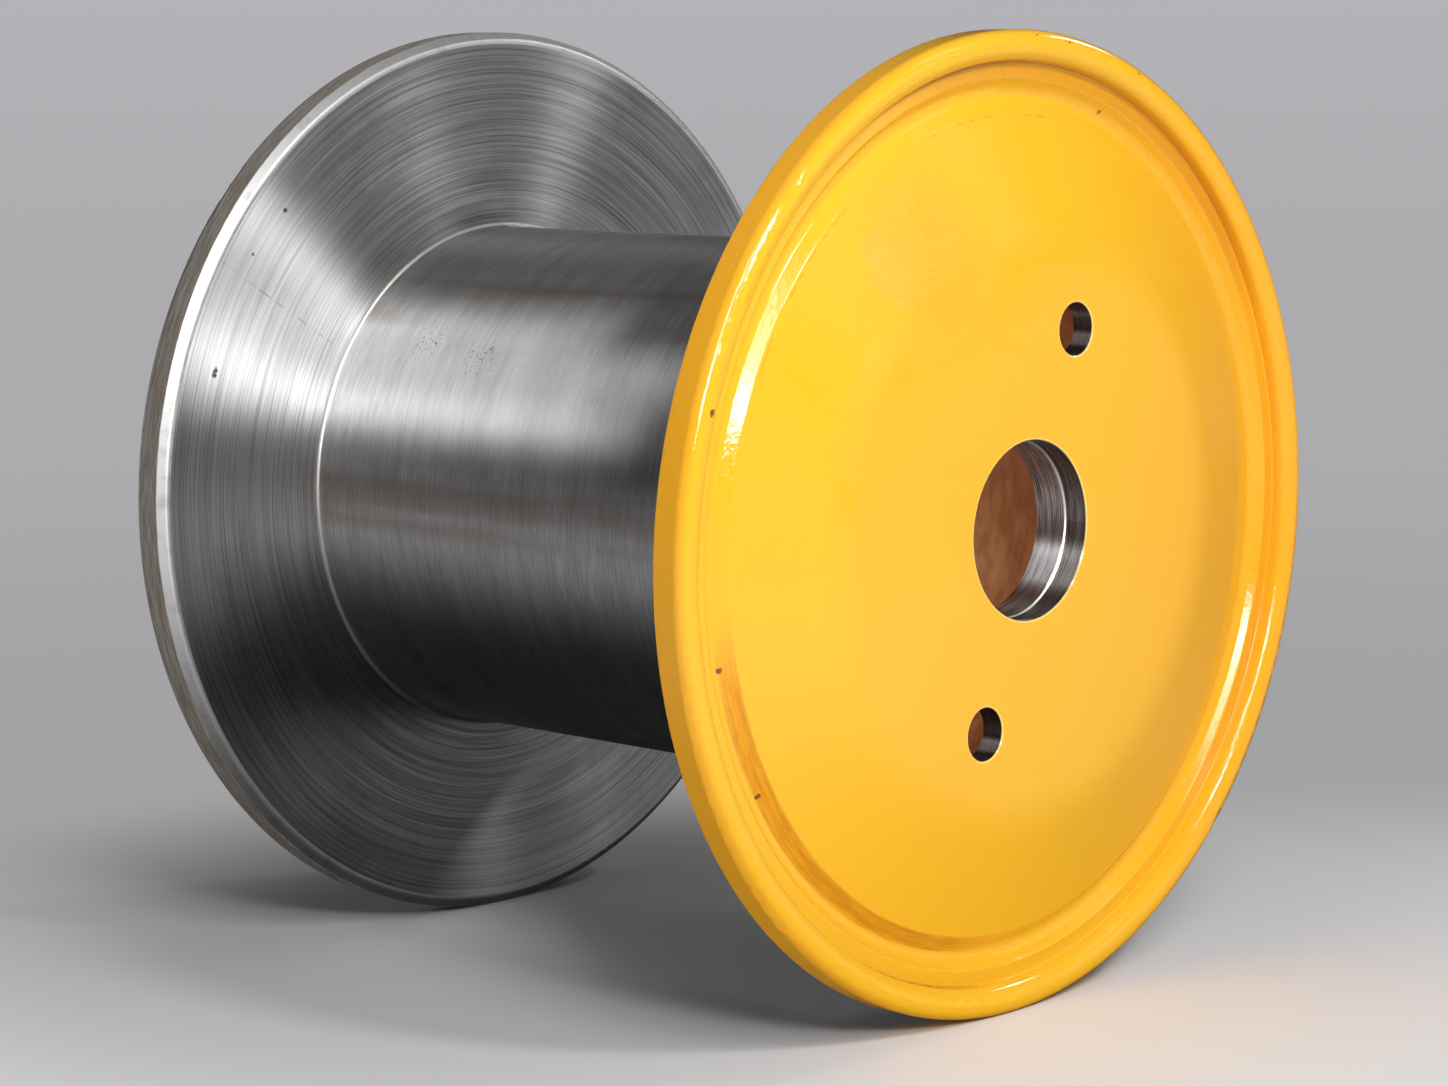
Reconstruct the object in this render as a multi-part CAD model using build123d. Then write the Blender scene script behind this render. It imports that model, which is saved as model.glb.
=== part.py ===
import os
from math import atan2, tan

from build123d import *

# Welded and turned steel bobbin with two flanges, a barrel tube and two hub rings.
# Millimetres. The bobbin is turned about Z while its pieces are made, then laid on its rims,
# so that its axis is level and runs along Y, with the painted flange facing -Y.
# The origin is the middle of the axis.

# Sizes of the winding space
flange_diameter = 710
barrel_diameter = 400
traverse = 500

# Thickness of a flange at the barrel, and of its end wall inside the barrel
flange_thickness = 40
end_wall = 18

# Bore, and the pair of holes that the driver pins enter
bore_diameter = 127
bore_relief = 1.2
drive_hole_diameter = 38
drive_circle_diameter = 300
drive_angle = -19.5

# Hub ring behind each end wall
hub_ring_wall = 28.5
hub_ring_length = 27
hub_lead_in = 2

# Barrel tube, its fit in the flange and the weld fillet at its foot
barrel_wall = 10
seat_clearance = 0.2
weld_fillet = 4

# Outer face of a flange. Insets are measured inwards from the rim, and falls from the hub face.
# The flat hub face reaches a little past the barrel, and a cone falls from it towards the rim.
# Its start is rounded off over the same reach along the face and along the cone.
# Then come a round-bottomed groove, a shelf and the full rim bead that stands on it.
hub_face_margin = 8
cone_start_reach = 17.5
cone_end_inset = 58
cone_end_fall = 21
cone_end_round = 3
groove_inner_inset = 49
groove_outer_inset = 41
groove_fall = 29
groove_inner_round = 5
groove_outer_round = 8
shelf_inset = 34.5
shelf_fall = 20.5
shelf_round = 2
bead_width = 22.5
bead_foot_fall = 21.5
bead_foot_round = 1.5
crest_fall = 7.5
bead_inner_round = 12
bead_outer_round = 9

# Inner corner of the rim, and the small edges
rim_bevel = 6
rim_outer_round = 1
rim_inner_round = 4
lip_chamfer = 1

flange_radius = flange_diameter / 2
barrel_radius = barrel_diameter / 2
bore_radius = bore_diameter / 2
end_bore_radius = bore_radius + bore_relief
seat_radius = barrel_radius + seat_clearance
half_width = traverse / 2 + flange_thickness
cone_start = (barrel_radius + hub_face_margin, 0)
cone_end = (flange_radius - cone_end_inset, -cone_end_fall)
cone_angle = atan2(cone_end_fall, cone_end[0] - cone_start[0])
cone_start_round = cone_start_reach / tan(cone_angle / 2)
groove_inside = (flange_radius - groove_inner_inset, -groove_fall)
groove_outside = (flange_radius - groove_outer_inset, -groove_fall)
shelf = (flange_radius - shelf_inset, -shelf_fall)
bead_foot = (flange_radius - bead_width, -bead_foot_fall)
bead_inside = (flange_radius - bead_width, -crest_fall)
bead_outside = (flange_radius, -crest_fall)
bevel_outside = (flange_radius, rim_bevel - flange_thickness)
bevel_inside = (flange_radius - rim_bevel, -flange_thickness)


def round_corner(section, corner, radius):
    """Rounds the vertex of a section that lies nearest to a corner given as (r, z)."""
    vertex = section.vertices().sort_by_distance((*corner, 0))[0]
    return fillet(vertex, radius)


def turned(section):
    """Turns a section, drawn with the radius along X and the height along Y, about Z."""
    return revolve(Plane.XZ * section, Axis.Z)


# Flange. Its hub face is at height 0 and the winding space lies below it.
flange_section = make_face(
    Polyline(
        (end_bore_radius, -lip_chamfer),
        (end_bore_radius + lip_chamfer, 0),
        cone_start,
        cone_end,
        groove_inside,
        groove_outside,
        shelf,
        bead_foot,
        bead_inside,
        bead_outside,
        bevel_outside,
        bevel_inside,
        (seat_radius, -flange_thickness),
        (seat_radius, -end_wall),
        (end_bore_radius + lip_chamfer, -end_wall),
        (end_bore_radius, lip_chamfer - end_wall),
        close=True,
    )
)
flange_section = round_corner(flange_section, cone_start, cone_start_round)
flange_section = round_corner(flange_section, cone_end, cone_end_round)
flange_section = round_corner(flange_section, groove_inside, groove_inner_round)
flange_section = round_corner(flange_section, groove_outside, groove_outer_round)
flange_section = round_corner(flange_section, shelf, shelf_round)
flange_section = round_corner(flange_section, bead_foot, bead_foot_round)
flange_section = round_corner(flange_section, bead_inside, bead_inner_round)
flange_section = round_corner(flange_section, bead_outside, bead_outer_round)
flange_section = round_corner(flange_section, bevel_outside, rim_outer_round)
flange_section = round_corner(flange_section, bevel_inside, rim_inner_round)
flange = turned(flange_section)

# Two drive holes, opposite each other, with a small chamfer at both ends
drive_hole = Cylinder(drive_hole_diameter / 2, end_wall)
drive_mouth = Cone(drive_hole_diameter / 2, drive_hole_diameter / 2 + lip_chamfer, lip_chamfer)
drive_tool = Pos(0, 0, -end_wall / 2) * drive_hole
drive_tool += Pos(0, 0, -lip_chamfer / 2) * drive_mouth
drive_tool += Pos(0, 0, lip_chamfer / 2 - end_wall) * Rot(X=180) * drive_mouth
flange -= Rot(Z=drive_angle) * Pos(0, drive_circle_diameter / 2, 0) * drive_tool
flange -= Rot(Z=drive_angle + 180) * Pos(0, drive_circle_diameter / 2, 0) * drive_tool

# Hub ring, from its face on the end wall downwards
hub_ring_radius = bore_radius + hub_ring_wall
hub_ring_section = make_face(
    Polyline(
        (bore_radius + hub_lead_in, 0),
        (hub_ring_radius, 0),
        (hub_ring_radius, -hub_ring_length),
        (bore_radius + lip_chamfer, -hub_ring_length),
        (bore_radius, lip_chamfer - hub_ring_length),
        (bore_radius, -hub_lead_in),
        close=True,
    )
)
hub_ring = turned(hub_ring_section)

# Barrel tube. Each end stands on the floor of a flange's seat,
# and the weld fillet flares out against the flange's inner face.
tube_half = half_width - end_wall
weld_toe = barrel_radius + weld_fillet
barrel_section = make_face(
    Polyline(
        (barrel_radius - barrel_wall, -tube_half),
        (barrel_radius, -tube_half),
        (barrel_radius, -traverse / 2),
        (weld_toe, -traverse / 2),
        (weld_toe, weld_fillet - traverse / 2),
        (weld_toe, traverse / 2 - weld_fillet),
        (weld_toe, traverse / 2),
        (barrel_radius, traverse / 2),
        (barrel_radius, tube_half),
        (barrel_radius - barrel_wall, tube_half),
        close=True,
    )
)
waist = Pos(weld_toe, 0) * Rectangle(2 * weld_fillet, traverse - 2 * weld_fillet)
barrel_section -= waist
for end in (-1, 1):
    barrel_section -= Pos(weld_toe, end * (traverse / 2 - weld_fillet)) * Circle(weld_fillet)
barrel = turned(barrel_section)

# Places along the axis, with the painted flange on top, before the bobbin is laid down
lay_down = Rot(X=90)
painted_flange = lay_down * Pos(0, 0, half_width) * flange
plain_flange = lay_down * mirror(Pos(0, 0, half_width) * flange, about=Plane.XY)
barrel_tube = lay_down * barrel
painted_end_hub_ring = lay_down * Pos(0, 0, tube_half) * hub_ring
plain_end_hub_ring = lay_down * mirror(Pos(0, 0, tube_half) * hub_ring, about=Plane.XY)

painted_flange.label = "painted_flange"
plain_flange.label = "plain_flange"
barrel_tube.label = "barrel_tube"
painted_end_hub_ring.label = "painted_end_hub_ring"
plain_end_hub_ring.label = "plain_end_hub_ring"

os.makedirs("parts", exist_ok=True)
for piece in (painted_flange, plain_flange, barrel_tube, painted_end_hub_ring, plain_end_hub_ring):
    box = piece.bounding_box()
    print(piece.label, len(piece.solids()), "solid", [round(v, 1) for v in (box.min.X, box.min.Y, box.min.Z)],
          [round(v, 1) for v in (box.max.X, box.max.Y, box.max.Z)])
    export_step(piece, "parts/" + piece.label + ".step")
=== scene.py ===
# %% [markdown]
# # A steel bobbin, dressed for its portrait
# A bobbin carries wire or strand between the machines of a wire mill. Two turned flanges are welded to a
# barrel tube, and the outer face of one flange is enamelled yellow, which also tells one end from the
# other. The shapes come ready made from the packed model, so this lesson is about finishes: enamel that
# has pooled, wrinkled and chipped, steel that still shows every turn of the lathe, and soft light.

import math

import bpy
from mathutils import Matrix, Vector


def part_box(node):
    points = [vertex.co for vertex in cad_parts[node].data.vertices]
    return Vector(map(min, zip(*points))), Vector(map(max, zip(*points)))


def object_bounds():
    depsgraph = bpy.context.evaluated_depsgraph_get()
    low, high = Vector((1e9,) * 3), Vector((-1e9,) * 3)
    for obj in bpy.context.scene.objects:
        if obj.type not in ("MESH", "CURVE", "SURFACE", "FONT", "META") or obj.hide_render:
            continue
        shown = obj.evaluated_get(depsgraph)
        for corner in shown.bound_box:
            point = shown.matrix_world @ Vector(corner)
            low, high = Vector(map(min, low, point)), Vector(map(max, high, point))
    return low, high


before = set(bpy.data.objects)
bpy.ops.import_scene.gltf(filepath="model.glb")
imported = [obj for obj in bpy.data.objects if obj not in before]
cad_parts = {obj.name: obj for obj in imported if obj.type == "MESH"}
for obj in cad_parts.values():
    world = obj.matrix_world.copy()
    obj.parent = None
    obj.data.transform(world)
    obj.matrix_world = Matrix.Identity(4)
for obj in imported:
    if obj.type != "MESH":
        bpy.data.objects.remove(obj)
cad_low, cad_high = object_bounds()
print("bobbin", [round(v, 4) for v in cad_high - cad_low], "m, pieces:", sorted(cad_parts))

# %% [markdown]
# The finishes need to know where they are on the bobbin. The rim, the hub face and the ends of the barrel
# are read from the packed pieces, so that a finish keeps to its place. The sizes that a bounding box can't
# tell, such as the bore and the steps on the flange's turned face, are written here in metres.

# %% Measure the bobbin
flange_low, flange_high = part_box("painted_flange")
barrel_low, barrel_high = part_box("barrel_tube")
rim_radius = flange_high.x
hub_face = flange_low.y
inner_face = flange_high.y
barrel_end = barrel_low.y
weld_toe = barrel_high.x
weld_fillet = 0.004
barrel_radius = weld_toe - weld_fillet
bore_radius = 0.0635
wall_bore = bore_radius + 0.0012
cone_edge = rim_radius - 0.058
groove_start = rim_radius - 0.049
shelf_start = rim_radius - 0.0345
bead_start = rim_radius - 0.0225
bevel_start = rim_radius - 0.006
drive_hole_radius = 0.019
drive_circle = 0.150
drive_turn = math.radians(19.5)
drive_x = drive_circle * math.sin(drive_turn)
drive_z = drive_circle * math.cos(drive_turn)
print("rim radius", round(rim_radius, 4))
print("hub face at", round(hub_face, 4), "inner face at", round(inner_face, 4))

# %% [markdown]
# ## The recipe helper
# A finish is a small network of nodes. Writing out every node and link by hand hides the idea under
# bookkeeping, so one helper keeps the bench tidy. It holds a material, adds a node, and fills each named
# socket either with a plain value or with a link from an earlier step. It also knows the two numbers that
# matter most on a turned piece: the distance from the axis, and the clock angle.


# %% Nodes and sums
class NodeRecipe:
    """A material under construction."""

    def __init__(self, name):
        self.material = bpy.data.materials.new(name)
        self.material.use_nodes = True
        self.tree = self.material.node_tree
        self.tree.nodes.clear()
        self.place = self.add("ShaderNodeTexCoord").outputs["Object"]
        parts = self.add("ShaderNodeSeparateXYZ", Vector=self.place)
        self.x, self.y, self.z = parts.outputs
        self.radius = self.length(self.x, self.z)
        self.angle = self.math("MULTIPLY", self.math("ARCTAN2", self.x, self.z), 180 / math.pi)

    def add(self, kind, settings=None, **sockets):
        """Adds a node. An underscore in a socket's name stands for a space, and i0 for the first socket."""
        node = self.tree.nodes.new(kind)
        for key, value in (settings or {}).items():
            setattr(node, key, value)
        for key, value in sockets.items():
            self.fill(node, key.replace("_", " "), value)
        return node

    def fill(self, node, name, value):
        numbered = name[:1] == "i" and name[1:].isdigit()
        socket = node.inputs[int(name[1:])] if numbered else node.inputs[name]
        if isinstance(value, bpy.types.NodeSocket):
            self.tree.links.new(value, socket)
        else:
            socket.default_value = value

    def math(self, operation, a, b=0.0, c=0.0):
        return self.add("ShaderNodeMath", {"operation": operation}, i0=a, i1=b, i2=c).outputs[0]

    def times(self, first, *others):
        for other in others:
            first = self.math("MULTIPLY", first, other)
        return first

    def most(self, first, *others):
        for other in others:
            first = self.math("MAXIMUM", first, other)
        return first

    def length(self, a, b):
        return self.math("SQRT", self.math("ADD", self.times(a, a), self.times(b, b)))

    def finish(self, shader):
        out = self.add("ShaderNodeOutputMaterial")
        self.tree.links.new(shader, out.inputs["Surface"])
        print("finish", self.material.name, "has", len(self.tree.nodes), "nodes")
        return self.material


print("sums:", [step for step in vars(NodeRecipe) if step[0] != "_"])

# %% [markdown]
# Nearly every mark keeps to a place: a ring round the groove, a few hours of the clock, one side of the
# floor. A mask is 1 in that place and 0 outside it, with an edge as soft as the mark's own. Masks that are
# painted by hand need a picture. These are worked out from coordinates, so they stay sharp close up.


# %% Masks by place
class MaskRecipe(NodeRecipe):
    """Adds masks that are 1 in one place and 0 elsewhere."""

    def fade(self, value, start, end, low=0.0, high=1.0):
        """Goes smoothly from low, where the value is start, to high, where it is end."""
        node = self.add("ShaderNodeMapRange", {"interpolation_type": "SMOOTHSTEP"}, Value=value)
        for key, number in (("From Min", start), ("From Max", end), ("To Min", low), ("To Max", high)):
            node.inputs[key].default_value = number
        return node.outputs[0]

    def band(self, value, middle, half_width, softness):
        """Is 1 within half_width of the middle and falls to 0 over the softness."""
        away = self.math("ABSOLUTE", self.math("SUBTRACT", value, middle))
        return self.fade(away, half_width + softness, half_width)

    def ring(self, inner, outer, softness):
        """Is 1 between two distances from the axis."""
        return self.band(self.radius, (inner + outer) / 2, (outer - inner) / 2, softness)

    def sector(self, start, end, softness):
        """Is 1 between two clock angles, in degrees from the top, with the right side positive."""
        return self.band(self.angle, (start + end) / 2, (end - start) / 2, softness)

    def reach(self, x_share, y_share):
        """How far a point lies out in one fixed level direction."""
        return self.math("ADD", self.times(self.x, x_share), self.times(self.y, y_share))


print("masks:", [step for step in vars(MaskRecipe) if step[0] != "_"])

# A lathe mark is plain noise, looked up in stretched coordinates: they change quickly across the marks and
# slowly along them. Colours are mixed, heights go to a bump, and whole shaders are laid over each other by
# a mask, as paint is over steel.


# %% Marks and layers
class Recipe(MaskRecipe):
    """Adds noise, lathe marks, bumps and layers."""

    def noise(self, place, scale, detail=2.0, roughness=0.5, distortion=0.0):
        node = self.add("ShaderNodeTexNoise", Vector=place, Scale=scale, Detail=detail,
                        Roughness=roughness, Distortion=distortion)
        return node.outputs["Fac"]

    def spot(self, x, z, size, softness, wander=0.0):
        """Is 1 near a point of the flange, with an edge that wanders."""
        away = self.length(self.math("SUBTRACT", self.x, x), self.math("SUBTRACT", self.z, z))
        if wander:
            ragged = self.math("SUBTRACT", self.noise(self.place, 450.0, 3.0), 0.5)
            away = self.math("ADD", away, self.math("MULTIPLY", ragged, wander))
        return self.fade(away, size + softness, size)

    def vector(self, x, y, z):
        return self.add("ShaderNodeCombineXYZ", X=x, Y=y, Z=z).outputs[0]

    def lathe_place(self, across, per_metre, turns, seed=0.0):
        """Coordinates for marks that run round the axis: quick to change across them, slow along them."""
        away = self.math("MAXIMUM", self.radius, 0.001)
        round_x = self.math("MULTIPLY", self.math("DIVIDE", self.x, away), turns)
        round_z = self.math("MULTIPLY", self.math("DIVIDE", self.z, away), turns)
        steps = self.math("MULTIPLY_ADD", across, per_metre, seed)
        return self.vector(round_x, steps, round_z)

    def lathe_lines(self, across, per_metre, turns, seed=0.0, detail=2.0):
        return self.noise(self.lathe_place(across, per_metre, turns, seed), 1.0, detail, 0.6)

    def bump(self, height, depth, strength=1.0):
        return self.add("ShaderNodeBump", Strength=strength, Distance=depth, Height=height).outputs[0]

    def mix(self, amount, a, b):
        """Mixes two colours. The amount is the share of the second."""
        return self.add("ShaderNodeMix", {"data_type": "RGBA"}, i0=amount, i6=a, i7=b).outputs[2]

    def blend(self, amount, first, second):
        """Lays the second shader over the first, by the amount."""
        return self.add("ShaderNodeMixShader", i0=amount, i1=first, i2=second).outputs[0]


print("marks:", [step for step in vars(Recipe) if step[0] != "_"])

# %% [markdown]
# Colours are easiest to judge as they look on a screen, from 0 to 255. A shader adds up light, and wants
# them in linear numbers, so each colour passes through one small helper.


# %% Colours
def rgb(red, green, blue):
    """The linear colour of a colour that is given as it looks on a screen."""
    linear = [((v / 255 + 0.055) / 1.055) ** 2.4 if v > 10 else v / 255 / 12.92 for v in (red, green, blue)]
    return (*linear, 1.0)


print("mid grey on the screen is", round(rgb(128, 128, 128)[0], 3), "to a shader")

# %% [markdown]
# ## The camera
# The portrait was taken with a long lens from a little above the axle, so the two flanges look almost
# equally large. The camera stands 2.9 m away, and looks down by seven degrees. Its place, its turn and its
# lens were found by laying the two rims over the portrait's.

# %% Camera
camera_place = Vector((-2.0886, -1.9185, 0.3353))
camera_azimuth = 312.698
camera_elevation = 7.433
camera_lens = 92.59

camera = bpy.data.objects.new("portrait_camera", bpy.data.cameras.new("portrait_camera"))
bpy.context.scene.collection.objects.link(camera)
camera.location = camera_place
camera.rotation_euler = (math.radians(90 - camera_elevation), 0, math.radians(camera_azimuth))
camera.data.lens = camera_lens
camera.data.sensor_width = 36
bpy.context.scene.camera = camera
print("camera", round(camera_place.length, 2), "m from the middle of the bobbin")

# %% [markdown]
# ## The studio
# One turned sheet makes the floor and, far out, curves up into the backdrop. It goes all the way round, so
# that no corner shows behind the bobbin from any side. A flat plane would do for one view only.

# %% The shape of the sheet
floor_height = cad_low.z
floor_radius = 4.6
sweep_radius = 1.6
sweep_angle = 80
floor_steps = 12
sweep_steps = 14
sheet_turns = 96


def sheet_profile():
    points = [(floor_radius * i / floor_steps, 0.0) for i in range(1, floor_steps + 1)]
    for i in range(1, sweep_steps + 1):
        a = math.radians(sweep_angle) * i / sweep_steps
        points.append((floor_radius + sweep_radius * math.sin(a), sweep_radius * (1 - math.cos(a))))
    return points


def turned_sheet(name, profile):
    """A sheet turned about the vertical, from its middle outwards."""
    vertices = [(0, 0, floor_height)]
    for r, h in profile:
        for k in range(sheet_turns):
            a = math.tau * k / sheet_turns
            vertices.append((r * math.cos(a), r * math.sin(a), floor_height + h))
    faces = [(0, 1 + k, 1 + (k + 1) % sheet_turns) for k in range(sheet_turns)]
    for i in range(len(profile) - 1):
        for k in range(sheet_turns):
            a, b = 1 + i * sheet_turns + k, 1 + i * sheet_turns + (k + 1) % sheet_turns
            faces.append((a, a + sheet_turns, b + sheet_turns, b))
    mesh = bpy.data.meshes.new(name)
    mesh.from_pydata(vertices, [], faces)
    mesh.shade_smooth()
    sheet = bpy.data.objects.new(name, mesh)
    bpy.context.scene.collection.objects.link(sheet)
    return sheet


studio = turned_sheet("studio_floor", sheet_profile())
print("floor at", round(floor_height, 3), "m, backdrop", round(studio.dimensions.z, 2), "m high")

# %% [markdown]
# Close to the bobbin the camera sees pale matt paper that takes the shadows. Further out it sees an even
# grey that no lamp can change, so the backdrop keeps its tone however the bobbin is lit. Near the bobbin
# the grey is paler on the side where the portrait was taken than behind it. Both are fixed places on the
# floor, so nothing slides when the camera moves.

# %% What the camera sees of the paper
matt_out_to = 0.36
grey_from = 0.84

paper = Recipe("studio_paper")
paper_tone = paper.mix(paper.noise(paper.place, 1.3, 3.0), rgb(226, 225, 227), rgb(232, 231, 233))
paper_shader = paper.add("ShaderNodeBsdfPrincipled", Base_Color=paper_tone, Roughness=0.9)
paper_shader.inputs["Specular IOR Level"].default_value = 0.2
out_on_floor = paper.length(paper.x, paper.y)
up_the_backdrop = paper.fade(paper.z, floor_height, floor_height + 1.1)
backdrop_tone = paper.mix(up_the_backdrop, rgb(172, 171, 174), rgb(181, 180, 184))
portrait_side = paper.fade(paper.reach(-0.565, -0.862), -0.6, 0.45)
near_tone = paper.mix(portrait_side, rgb(163, 162, 164), rgb(220, 219, 220))
seen_tone = paper.mix(paper.fade(out_on_floor, 1.0, 3.8), near_tone, backdrop_tone)
print("matt paper out to", matt_out_to, "m, even grey from", grey_from, "m")

# %% [markdown]
# Bare steel is mostly a picture of what stands round it. An evenly pale sheet would turn the barrel and the
# far flange flat grey. So the sheet also has a second brightness, for mirrored rays alone: a bright hall in
# front, a dimmer one at the sides, a bright one again far behind, and near darkness on the floor under the
# bobbin. The Light Path node tells these rays from the camera's own. Each fade runs over metres from the
# bobbin's middle, and ends at the brightness that the steel sees there.

# %% What the steel mirrors
rays = paper.add("ShaderNodeLightPath").outputs
mirrored = paper.most(rays["Is Glossy Ray"], rays["Is Transmission Ray"])
under_bobbin = paper.fade(out_on_floor, 0.32, 0.95, 0.08, 1.0)
front_hall = paper.fade(paper.reach(-0.30, -0.95), -0.3, 1.3, 0.34, 1.1)
back_hall = paper.fade(paper.reach(0.5, 0.86), 0.9, 2.3, 0.0, 1.0)
dim_walls = paper.fade(paper.z, floor_height + 1.0, floor_height, 0.3, 1.0)
mirror_level = paper.times(paper.most(front_hall, back_hall), dim_walls)
glow_level = paper.math("ADD", rays["Is Camera Ray"], paper.times(mirrored, mirror_level, under_bobbin))
glow = paper.add("ShaderNodeEmission", Color=seen_tone, Strength=glow_level)
even_grey = paper.fade(out_on_floor, matt_out_to, grey_from)
glowing = paper.most(paper.times(even_grey, rays["Is Camera Ray"]), mirrored)
paper_look = paper.blend(glowing, paper_shader.outputs[0], glow.outputs[0])
studio.data.materials.append(paper.finish(paper_look))

# %% [markdown]
# ## The lights
# The finishes tell where the lamps stood. A tall soft box to the left of the painted face draws the white
# arcs on the enamel, the long streak on the barrel and the fan of light on the far flange. Its foot is the
# brightest part. A small box in front adds the steeper wedge of the fan. A narrow one high on the right
# lights the top of the bead, and a weak strip beside it draws the bar near the top of the far flange.


# %% Soft boxes
def lamp_direction(azimuth, elevation):
    """The direction from the bobbin's middle to a lamp. At azimuth 0 the lamp faces the painted side."""
    a, e = math.radians(azimuth), math.radians(elevation)
    return Vector((math.sin(a) * math.cos(e), -math.cos(a) * math.cos(e), math.sin(e)))


def soft_box(name, azimuth, elevation, distance, width, height, watts):
    """A lamp in a rectangular box that looks at the middle of the bobbin."""
    back = lamp_direction(azimuth, elevation)
    lamp = bpy.data.lights.new(name, "AREA")
    lamp.shape = "RECTANGLE"
    lamp.size = width
    lamp.size_y = height
    lamp.energy = watts
    box = bpy.data.objects.new(name, lamp)
    box.location = back * distance
    box.rotation_euler = (-back).to_track_quat("-Z", "Y").to_euler()
    box.visible_camera = False
    bpy.context.scene.collection.objects.link(box)
    print(name, width, "x", height, "m,", watts, "W")


soft_box("tall_box_foot", 326.5, 20.5, 2.8, 0.72, 0.30, 28)
soft_box("tall_box_head", 326.5, 34, 2.8, 0.72, 1.00, 24)
soft_box("front_box", 352, 37, 2.8, 0.32, 0.38, 20)
soft_box("high_box", 40, 44, 2.2, 0.08, 0.80, 1.1)
soft_box("side_strip", 78, 34, 2.44, 0.09, 0.22, 4.2)

# %% [markdown]
# The cone of the painted face also shows a wide pale haze near its top, and no edge of a lamp in it. A soft
# box has a hard edge, so it can't draw that. A round panel that glows most in its middle can. It also fills
# the lower right of the face with light. The camera doesn't see it, and it throws no shadow.

# %% Front panel
panel_radius = 0.85
panel_glow = 0.85
panel_corners = 48
panel_distance = 2.6
panel_direction = lamp_direction(34, 13)

corner_angles = [math.tau * k / panel_corners for k in range(panel_corners)]
panel_mesh = bpy.data.meshes.new("front_panel")
panel_mesh.from_pydata([(panel_radius * math.cos(a), panel_radius * math.sin(a), 0) for a in corner_angles],
                       [], [tuple(range(panel_corners))])
panel_finish = Recipe("front_panel")
from_panel_middle = panel_finish.length(panel_finish.x, panel_finish.y)
panel_level = panel_finish.fade(from_panel_middle, panel_radius, panel_radius * 0.25, 0.0, panel_glow)
panel_light = panel_finish.add("ShaderNodeEmission", Strength=panel_level)
panel_mesh.materials.append(panel_finish.finish(panel_light.outputs[0]))
front_panel = bpy.data.objects.new("front_panel", panel_mesh)
front_panel.location = panel_direction * panel_distance
front_panel.rotation_euler = panel_direction.to_track_quat("Z", "Y").to_euler()
front_panel.visible_camera = False
front_panel.visible_shadow = False
bpy.context.scene.collection.objects.link(front_panel)
print("front panel", round(front_panel.dimensions.x, 2), "m across")

# %% [markdown]
# Little light finds its way through the bores, and yet the portrait shows the rust in there warm and clear.
# A small, weak lamp inside the barrel brings it out. It stands a little off the axis, towards the stretch of
# wall that shows through the bore.

# %% Inside lamp
inside_light = bpy.data.lights.new("inside_lamp", "POINT")
inside_light.energy = 0.33
inside_light.shadow_soft_size = 0.06
inside_lamp = bpy.data.objects.new("inside_lamp", inside_light)
inside_lamp.location = (0.02, 0, -0.06)
inside_lamp.visible_camera = False
bpy.context.scene.collection.objects.link(inside_lamp)
print("inside lamp", round(inside_light.energy, 2), "W")

# %% [markdown]
# Above the lamps there is a ceiling, and it gives back a little light. The world stands for it: almost dark
# at the sides and a little brighter straight above, which keeps the top of the barrel from going black.

# %% Ceiling
ceiling_glow = 0.13
wall_glow = 0.04

world = bpy.data.worlds.new("dim_studio")
world.use_nodes = True
sky = world.node_tree
direction = sky.nodes.new("ShaderNodeTexCoord")
height = sky.nodes.new("ShaderNodeSeparateXYZ")
overhead = sky.nodes.new("ShaderNodeMapRange")
sky.links.new(direction.outputs["Generated"], height.inputs[0])
sky.links.new(height.outputs["Z"], overhead.inputs["Value"])
for socket, value in (("From Min", 0.3), ("From Max", 0.95), ("To Min", wall_glow), ("To Max", ceiling_glow)):
    overhead.inputs[socket].default_value = value
sky.links.new(overhead.outputs[0], sky.nodes["Background"].inputs["Color"])
bpy.context.scene.world = world
bpy.context.scene.view_settings.view_transform = "Standard"
print("ceiling", ceiling_glow, "sides", wall_glow)

# %% [markdown]
# ## Turned steel
# A lathe tool leaves thousands of fine circles, and each one throws light sideways, across itself. That is
# why a turned disc shows bright fans that reach from its middle to its rim. The anisotropic shader does the
# same once its tangent runs round the axis. A quarter turn of the anisotropy then makes the highlights
# stretch across the marks. The tone comes from three sizes of lathe line laid over each other, none of which
# runs all the way round, and from oil that has dried in soft clouds. Where a piece has stains and nicks of
# its own, it hands in a mask for each.

# %% A shader for turned steel
steel_light = rgb(238, 238, 241)
steel_dark = rgb(160, 159, 158)
oil_tone = rgb(120, 104, 88)
stain_tone = rgb(152, 122, 86)
nick_tone = rgb(78, 72, 66)
line_depth = 0.00025
broad_per_metre = 60.0
middle_per_metre = 520.0
fine_per_metre = 1400.0
quarter_turn = 0.25


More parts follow.
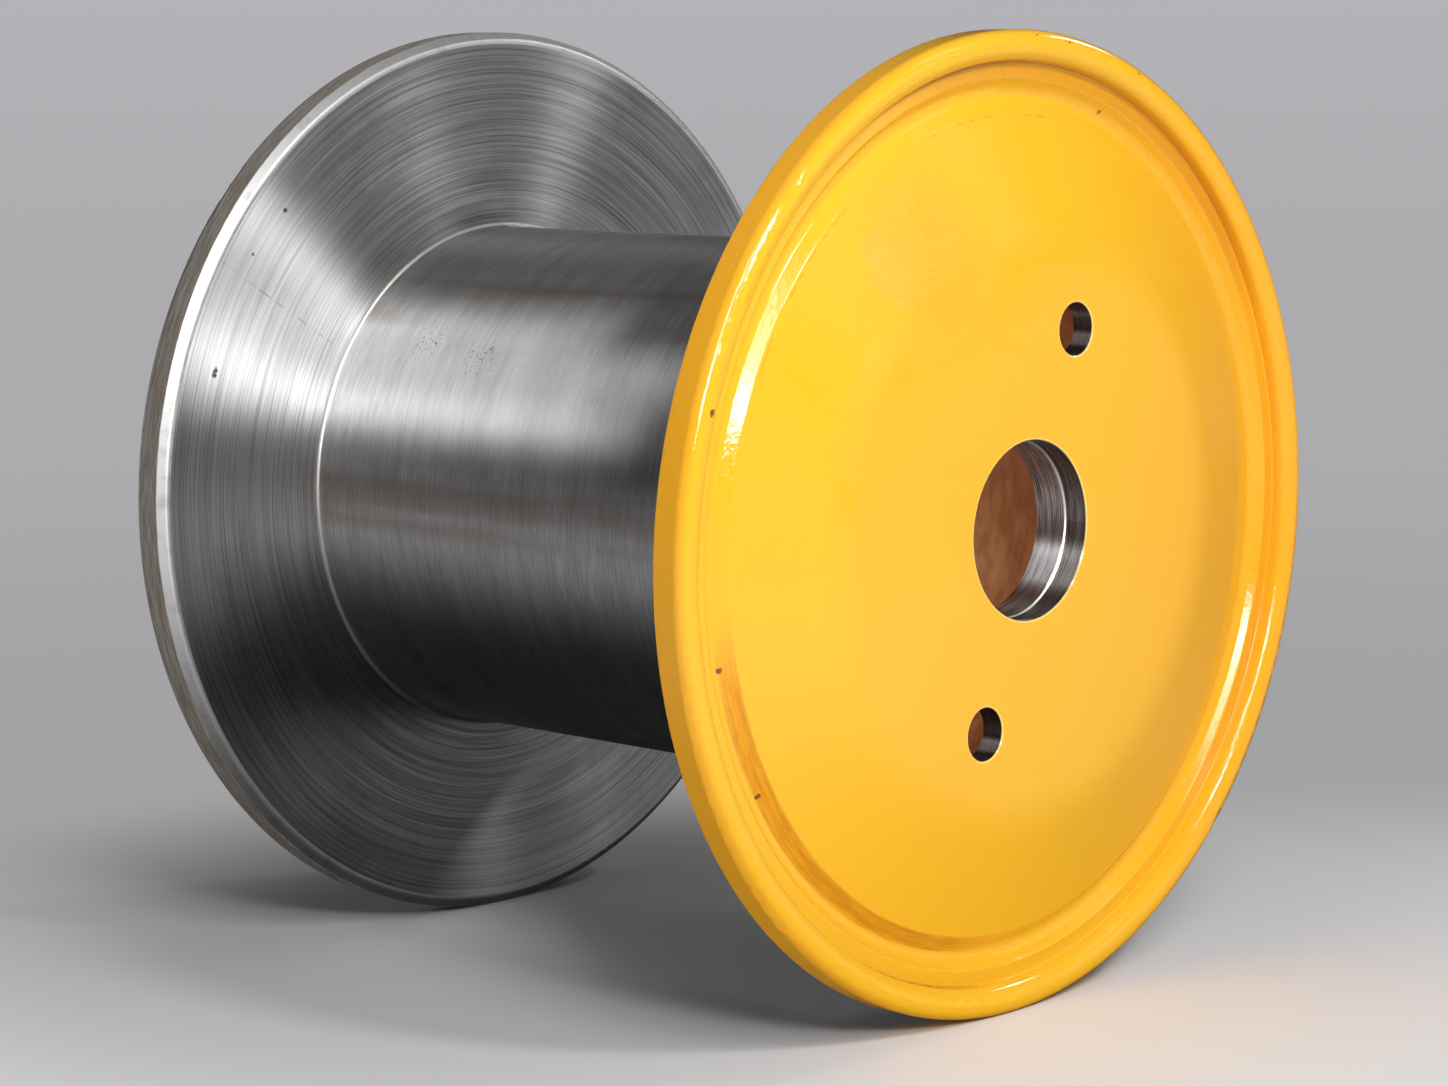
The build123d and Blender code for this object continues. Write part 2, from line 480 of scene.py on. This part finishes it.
def turned_steel(recipe, across, light, dark, roughness=0.37, contrast=1.0, turns=1.0, stain=0.0, nicks=0.0):
    """Steel with marks that run round the axis. Across is the way in which the marks follow each other."""
    broad = recipe.lathe_lines(across, broad_per_metre, 1.1, 3.0, 3.0)
    middle = recipe.lathe_lines(across, middle_per_metre, 1.3 * turns, 11.0, 3.0)
    fine = recipe.lathe_lines(across, fine_per_metre, 2.6 * turns, 27.0, 3.0)
    lines = recipe.math("ADD", recipe.times(middle, 0.4), recipe.times(fine, 0.6))
    shade = recipe.fade(lines, 0.5 - 0.16 / contrast, 0.5 + 0.16 / contrast)
    shade = recipe.math("ADD", recipe.times(shade, 0.80), recipe.times(recipe.fade(broad, 0.3, 0.7), 0.20))
    tone = recipe.mix(shade, dark, light)
    oil = recipe.fade(recipe.noise(recipe.place, 9.0, 4.0, 0.6), 0.52, 0.75)
    tone = recipe.mix(recipe.times(oil, 0.30), tone, oil_tone)
    tone = recipe.mix(stain, tone, stain_tone)
    tone = recipe.mix(nicks, tone, nick_tone)
    shader = recipe.add("ShaderNodeBsdfPrincipled", Base_Color=tone, Metallic=1.0)
    recipe.fill(shader, "Roughness", recipe.fade(lines, 0.35, 0.65, roughness + 0.05, roughness - 0.04))
    shader.inputs["Anisotropic"].default_value = 1.0
    shader.inputs["Anisotropic Rotation"].default_value = quarter_turn
    tangent = recipe.add("ShaderNodeTangent", {"direction_type": "RADIAL", "axis": "Y"})
    recipe.fill(shader, "Tangent", tangent.outputs[0])
    recipe.fill(shader, "Normal", recipe.bump(lines, line_depth, 0.5))
    return shader.outputs[0]


print("steel tones", [round(v, 2) for v in steel_light[:3]], [round(v, 2) for v in steel_dark[:3]])

# %% [markdown]
# The machined edges are cleaner than the faces. The bevel at the rim and the lead-in of the bore are cut
# last, with a light finishing pass, so they show the lamps as one clean bright line. They get a steel of
# their own, with no lathe lines and only a few faint clouds.


# %% A shader for polished edges
def polished_steel(recipe, tone, roughness):
    clouds = recipe.fade(recipe.noise(recipe.place, 90.0, 3.0), 0.5, 0.8, 0.0, 0.5)
    shader = recipe.add("ShaderNodeBsdfPrincipled", Metallic=1.0,
                        Base_Color=recipe.mix(clouds, tone, rgb(196, 190, 183)))
    shader.inputs["Roughness"].default_value = roughness
    return shader.outputs[0]


bevel_width = rim_radius - bevel_start
print("bevel", round(bevel_width * 1000, 1), "mm wide")

# %% [markdown]
# ## The bare flange
# Its faces carry strong lathe marks. A few nicks and one old scratch cross the circles: a mark that runs
# against the grain is what makes the eye believe the grain. Each nick is a small spot with a ragged edge,
# and the scratch is a straight line across the face that a patchy noise breaks up.

# %% Nicks and a scratch
bare = Recipe("turned_flange_steel")
bare_nicks = bare.most(
    bare.spot(-0.230, 0.220, 0.0012, 0.0015, 0.004),
    bare.spot(-0.301, 0.099, 0.0010, 0.002, 0.007),
    bare.spot(-0.300, 0.102, 0.0012, 0.002, 0.005),
    bare.spot(-0.262, 0.188, 0.0008, 0.001, 0.003),
)
scratch_slope = 0.62
scratch_line = bare.math("SUBTRACT", bare.math("MULTIPLY_ADD", bare.x, scratch_slope, bare.z), 0.002)
off_scratch = bare.math("ABSOLUTE", scratch_line)
crossing = bare.times(bare.fade(off_scratch, 0.0012, 0.0004), bare.sector(-72, -58, 2),
                      bare.fade(bare.noise(bare.place, 60.0), 0.45, 0.6), 0.5)
print("scratch at", round(math.degrees(math.atan(scratch_slope))), "degrees to the floor")

# %% [markdown]
# The land round the rim was left as it came from the saw and has browned in the shop. Next to it the bevel
# is bright. So the flange gets three steels, and the distance from the axis says which one shows.

# %% Bare flange
bare_face = turned_steel(bare, bare.radius, steel_light, steel_dark, roughness=0.40, contrast=1.05,
                         nicks=bare.most(bare_nicks, crossing))
bare_edge = polished_steel(bare, rgb(250, 250, 250), 0.46)
land_lines = bare.lathe_lines(bare.y, 700.0, 14.0, 5.0)
land_tone = bare.mix(bare.fade(land_lines, 0.35, 0.65), rgb(172, 160, 146), rgb(214, 206, 196))
bare_land = bare.add("ShaderNodeBsdfPrincipled", Base_Color=land_tone, Metallic=0.6, Roughness=0.55)
on_edge = bare.fade(bare.radius, bevel_start - 0.0035, bevel_start - 0.003)
on_land = bare.fade(bare.radius, rim_radius - 0.0006, rim_radius - 0.0002)
bare_look = bare.blend(on_edge, bare_face, bare_edge)
bare_look = bare.blend(on_land, bare_look, bare_land.outputs[0])
bare_flange = bare.finish(bare_look)

# %% [markdown]
# ## The barrel
# The tube was brushed on the lathe with a coarse cloth, so its marks are short and faint and run round it.
# Handling has left brown bands of dried oil along it and two clusters of tiny pits. A band is a mask in
# clock angles, broken up by noise, and the pits are the peaks of a fine noise inside two small patches.

# %% Barrel outside
tube = Recipe("brushed_barrel_steel")
patchy_oil = tube.fade(tube.noise(tube.lathe_place(tube.y, 3.0, 5.0, 6.0), 1.0, 3.0), 0.35, 0.6)
oil_bands = tube.times(patchy_oil, tube.most(
    tube.times(tube.sector(-47, -37, 4), 0.8),
    tube.times(tube.sector(-94, -86, 4), 0.7),
    tube.times(tube.sector(-64, -50, 8), 0.1),
))
pit_patches = tube.most(
    tube.times(tube.band(tube.y, 0.167, 0.006, 0.012), tube.sector(-55, -50, 2.5)),
    tube.times(tube.band(tube.y, 0.103, 0.008, 0.014), tube.sector(-59, -54, 2.5)),
)
pits = tube.times(pit_patches, tube.fade(tube.noise(tube.place, 420.0, 2.0), 0.60, 0.66))
tube_face = turned_steel(tube, tube.y, steel_light, steel_dark, roughness=0.42, contrast=0.5, turns=4.0,
                         stain=tube.times(oil_bands, 0.65), nicks=pits)
tube_edge = polished_steel(tube, rgb(206, 201, 195), 0.40)
on_weld = tube.fade(tube.radius, barrel_radius + 0.0006, barrel_radius + 0.0012)
tube_look = tube.blend(on_weld, tube_face, tube_edge)
print("weld starts", round(weld_fillet * 1000, 1), "mm from the flange")

# %% [markdown]
# Nobody ever cleaned the tube inside: the wall is rust brown, and it isn't metallic at all. The rust lies in
# streaks that run round the tube, with darker clouds over them.

# %% Rust inside the barrel
rust_streaks = tube.lathe_lines(tube.y, 90.0, 6.0, 2.0, 4.0)
rust_clouds = tube.noise(tube.place, 14.0, 4.0)
rust_tone = tube.mix(tube.fade(rust_streaks, 0.35, 0.65), rgb(196, 136, 84), rgb(222, 170, 112))
rust_tone = tube.mix(tube.times(tube.fade(rust_clouds, 0.45, 0.7), 0.5), rust_tone, rgb(168, 112, 66))
tube_rust = tube.add("ShaderNodeBsdfPrincipled", Base_Color=rust_tone, Roughness=0.75)
inside_tube = tube.fade(tube.radius, barrel_radius - 0.0008, barrel_radius - 0.0012)
tube_look = tube.blend(inside_tube, tube_look, tube_rust.outputs[0])
barrel_steel = tube.finish(tube_look)

# %% [markdown]
# ## The hub rings
# Each end wall has a ring welded behind it that carries the bore. Looking in, one sees the wall's own edge,
# a bright seam where the ring's lead-in starts, and then the ring's bored face with its streaks. Where the
# ring faces the hollow barrel it is as rusty as the barrel.


# %% Hub rings
def hollow_rust(recipe, clouds_per_metre):
    """Dull rust, for the faces that look into the barrel."""
    tone = recipe.mix(recipe.noise(recipe.place, clouds_per_metre, 4.0), rgb(168, 106, 68), rgb(206, 142, 96))
    return recipe.add("ShaderNodeBsdfPrincipled", Roughness=0.75, Base_Color=tone).outputs[0]


hub = Recipe("bored_hub_steel")
hub_bore = turned_steel(hub, hub.y, rgb(226, 227, 232), rgb(92, 88, 85), roughness=0.40, contrast=1.3)
hub_seam = polished_steel(hub, rgb(250, 248, 244), 0.5)
seam_place = -barrel_end - 0.0010
on_seam = hub.band(hub.math("ABSOLUTE", hub.y), seam_place, 0.0004, 0.0002)
out_of_ring_bore = hub.fade(hub.radius, bore_radius + 0.0025, bore_radius + 0.003)
hub_look = hub.blend(on_seam, hub_bore, hub_seam)
hub_look = hub.blend(out_of_ring_bore, hub_look, hollow_rust(hub, 40.0))
hub_steel = hub.finish(hub_look)

# %% [markdown]
# ## Enamel
# Thick glossy enamel, sprayed on the turned face, the bead and the rim. Its colour comes from the base, and
# its shine from a clear coat alone, because that keeps the yellow deep and the mirrored lamps crisp. Spray
# never lies quite flat: a fine orange peel breaks the edges of the mirrored lamps, and it is deeper where
# the paint ran together, from the groove outwards.

# %% Enamel body, painted shade and orange peel
enamel = Recipe("golden_yellow_enamel")
soft_drift = enamel.noise(enamel.place, 3.0, 2.0)
body = enamel.mix(soft_drift, rgb(244, 183, 40), rgb(247, 190, 44))
# Painted shade: the right half of the face is mixed towards a deeper orange, where less light falls.
body = enamel.mix(enamel.fade(enamel.x, 0.06, 0.30, 0.0, 0.7), body, rgb(255, 178, 36))
# Painted shade: the land on the left of the rim is mixed towards a deeper orange.
land_painted_shade = enamel.times(enamel.fade(enamel.radius, rim_radius - 0.006, rim_radius - 0.001),
                         enamel.sector(-150, -30, 15), 0.8)
body = enamel.mix(land_painted_shade, body, rgb(255, 180, 44))

fine_peel_scale = 900.0
coarse_peel_scale = 260.0
fine_peel = enamel.noise(enamel.place, fine_peel_scale, 2.0)
coarse_peel = enamel.noise(enamel.place, coarse_peel_scale, 2.0)
peel_height = enamel.math("ADD", enamel.times(fine_peel, 0.35), coarse_peel)
peel_depth = enamel.fade(enamel.radius, cone_edge - 0.02, cone_edge + 0.002, 0.3, 2.0)
peel = enamel.times(peel_height, peel_depth)
print("orange peel about", round(1000 / coarse_peel_scale, 1), "mm across")

# %% [markdown]
# Age shows where a hand or a chain has been: oil and dust have settled on the fall of the groove at the lower
# left. That fall faces down, away from the lamps, so its dark orange is partly painted shade. The shelf at
# the upper right gets a painted shadow, the one the bead casts on it, and the foot of the bead a dark line of
# painted shade in its crease. Each of these is a thin ring, cut to a few hours of the clock. Streaks break up
# the first, and grit the last.

# %% Grime and painted shade in the groove
grit = enamel.noise(enamel.place, 700.0, 3.0)
grime_streaks = enamel.fade(enamel.lathe_lines(enamel.radius, 500.0, 9.0, 4.0, 3.0), 0.3, 0.7)
grime_amount = enamel.math("MULTIPLY_ADD", grime_streaks, 0.5, 0.35)
# Partly grime with streaks, partly painted shade on the fall that faces away from the lamps.
fall_grime_and_shade = enamel.times(enamel.ring(cone_edge - 0.0005, groove_start + 0.001, 0.0015),
                          enamel.sector(-166, -108, 13), grime_amount)
# Painted shadow of the bead on the shelf, strongest at the top right and fading out past three o'clock.
shelf_hours = enamel.most(enamel.sector(-8, 48, 30), enamel.times(enamel.sector(-30, 110, 30), 0.35))
painted_shelf_shadow = enamel.times(enamel.ring(shelf_start + 0.0008, bead_start + 0.0006, 0.0020), shelf_hours)
# Painted shade: a dark line in the crease at the foot of the bead, broken up by grit.
bead_foot_shade = enamel.times(enamel.ring(bead_start - 0.0008, bead_start + 0.0002, 0.0007),
                         enamel.sector(-165, -60, 15), enamel.fade(grit, 0.3, 0.6))
print("fall of the groove", round((groove_start - cone_edge) * 1000, 1), "mm wide")

# %% [markdown]
# A thin scratch runs round the upper edge of the cone, where something once rubbed as the bobbin turned.
# Small chips show the brown under the paint, and the right side of the rim has rubbed through in specks.

# %% Scratch and chips
scratch_radius = 0.2949
dash_place = enamel.lathe_place(enamel.radius, 30.0, 22.0, 8.0)
scratch_dashes = enamel.fade(enamel.noise(dash_place, 1.0, 2.0), 0.45, 0.55)
scratch_hours = enamel.most(enamel.sector(-17, 6, 3), enamel.sector(-62, -40, 5))
ring_scratch = enamel.times(enamel.ring(scratch_radius - 0.0002, scratch_radius + 0.0002, 0.0004),
                            scratch_dashes, scratch_hours)
chips = enamel.most(
    enamel.spot(0.1091, 0.2956, 0.0010, 0.0012, 0.004),
    enamel.spot(-0.3265, 0.1065, 0.0016, 0.0016, 0.005),
    enamel.spot(-0.2982, -0.0687, 0.0012, 0.0016, 0.004),
    enamel.spot(-0.2603, -0.1592, 0.0012, 0.0016, 0.004),
)
rim_specks = enamel.fade(enamel.noise(enamel.place, 120.0, 4.0, 0.7), 0.64, 0.68)
rim_hours = enamel.most(enamel.sector(0, 32, 6), enamel.times(enamel.sector(60, 120, 10), 0.8))
on_rim = enamel.fade(enamel.radius, rim_radius - 0.010, rim_radius - 0.006)
rim_wear = enamel.times(rim_specks, on_rim, rim_hours)
print("scratch", round((cone_edge - scratch_radius) * 1000, 1), "mm inside the cone's edge")

# %% [markdown]
# The first coat wrinkled above and to the left of the bore, as thick paint does when its skin dries first.
# Wrinkles are height and not colour, so they join the orange peel in the bump. The noise is squeezed flat
# and bent, which turns round blobs into short folds.

# %% Wrinkles
wrinkle_squeeze = 2.2
wrinkle_bend = 1.5
wrinkle_height = 9.0
wrinkle_place = enamel.vector(enamel.x, enamel.y, enamel.times(enamel.z, wrinkle_squeeze))
wrinkle_lines = enamel.noise(wrinkle_place, 220.0, 3.0, 0.6, wrinkle_bend)
wrinkled = enamel.most(enamel.spot(-0.115, 0.205, 0.020, 0.075),
                       enamel.times(enamel.spot(-0.178, 0.080, 0.008, 0.045), 0.4))
skin_height = enamel.math("ADD", peel, enamel.times(wrinkle_lines, wrinkled, wrinkle_height))
print("skin so far", len(enamel.tree.nodes), "nodes")

# %% [markdown]
# The bore and the two drive holes need their own measure, because the paint stops at them. Each mouth also
# has a pale lip, a painted highlight where its small chamfer catches the light. For a drive hole the distance
# is taken from the hole's own middle, and for the bore from the axis.

# %% Mouths of the bore and the holes
from_hole = enamel.length(enamel.math("SUBTRACT", enamel.x, drive_x),
                          enamel.math("SUBTRACT", enamel.z, drive_z))
from_other_hole = enamel.length(enamel.math("ADD", enamel.x, drive_x), enamel.math("ADD", enamel.z, drive_z))
mouths = ((enamel.radius, wall_bore), (from_hole, drive_hole_radius), (from_other_hole, drive_hole_radius))
out_of_mouths = enamel.times(*(enamel.fade(away, r + 0.0002, r + 0.0005) for away, r in mouths))
# Painted highlight: a pale ring round each mouth, on its chamfer.
lip_highlights = enamel.most(*(enamel.fade(away, r + 0.0019, r + 0.0011) for away, r in mouths))
print("pale lips on", len(mouths), "mouths")

# %% [markdown]
# Now the marks are laid over the body colour one by one, and the chips last, because they go through
# everything. The shine comes from the coat alone: the base under it has no gloss.

# %% Colour and shine
colour = body
for mark, amount, tone in (
    (lip_highlights, 0.6, rgb(255, 236, 150)),
    (fall_grime_and_shade, 0.75, rgb(196, 112, 26)),
    (painted_shelf_shadow, 0.45, rgb(182, 100, 22)),
    (bead_foot_shade, 0.7, rgb(150, 88, 24)),
    (ring_scratch, 0.6, rgb(190, 130, 40)),
    (enamel.most(chips, rim_wear), 0.9, rgb(96, 56, 30)),
):
    colour = enamel.mix(enamel.times(mark, amount), colour, tone)
enamel_shader = enamel.add("ShaderNodeBsdfPrincipled", Base_Color=colour, Roughness=0.35)
enamel_shader.inputs["Coat Weight"].default_value = 1.0
enamel_shader.inputs["Coat Roughness"].default_value = 0.06
enamel_shader.inputs["Specular IOR Level"].default_value = 0.0
skin_depth = 0.00012
skin_bump = enamel.bump(skin_height, skin_depth)
enamel.fill(enamel_shader, "Normal", skin_bump)
enamel.fill(enamel_shader, "Coat Normal", skin_bump)
print("coat roughness", round(enamel_shader.inputs["Coat Roughness"].default_value, 2))

# %% [markdown]
# The spray stopped at the edges. The bore and the drive holes were plugged, so their walls stayed bare and
# only the small chamfer at each mouth has paint on it. The winding side of the flange was masked too. The
# same steel as on the other pieces shows there, and the inside of the end wall is rusty.

# %% Where the paint stops
outer_limit = enamel.fade(enamel.radius, barrel_radius + 0.0001, barrel_radius + 0.0004,
                          hub_face + 0.010, inner_face - 0.0012)
on_outer_side = enamel.math("LESS_THAN", enamel.y, outer_limit)
painted = enamel.times(on_outer_side, out_of_mouths)

masked_face = turned_steel(enamel, enamel.radius, steel_light, steel_dark)
in_drive_hole = enamel.ring(drive_circle - 0.03, drive_circle + 0.03, 0.001)
# The walls of the drive holes are darkened all over, towards the dark tone of the nicks.
plugged_wall = turned_steel(enamel, enamel.y, rgb(176, 172, 170), rgb(84, 78, 74), roughness=0.42,
                            contrast=1.3, nicks=enamel.times(in_drive_hole, 0.75))
within_barrel = enamel.fade(enamel.radius, barrel_radius + 0.0004, barrel_radius + 0.0001)
behind_wall = enamel.fade(enamel.y, barrel_end - 0.0006, barrel_end - 0.0002)
bare_steel = enamel.blend(within_barrel, masked_face, plugged_wall)
bare_steel = enamel.blend(enamel.times(within_barrel, behind_wall), bare_steel, hollow_rust(enamel, 30.0))
enamel_coat = enamel.finish(enamel.blend(painted, bare_steel, enamel_shader.outputs[0]))

# %% [markdown]
# ## Dress the pieces
# The turned shapes are right as they come, so each packed piece stays and only changes its material.

# %% Dress the pieces
finishes = {
    "painted_flange": enamel_coat,
    "plain_flange": bare_flange,
    "barrel_tube": barrel_steel,
    "painted_end_hub_ring": hub_steel,
    "plain_end_hub_ring": hub_steel,
}
for node, finish in finishes.items():
    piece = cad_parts[node]
    piece.data.materials.clear()
    piece.data.materials.append(finish)
    print(node, "wears", finish.name)

# %% [markdown]
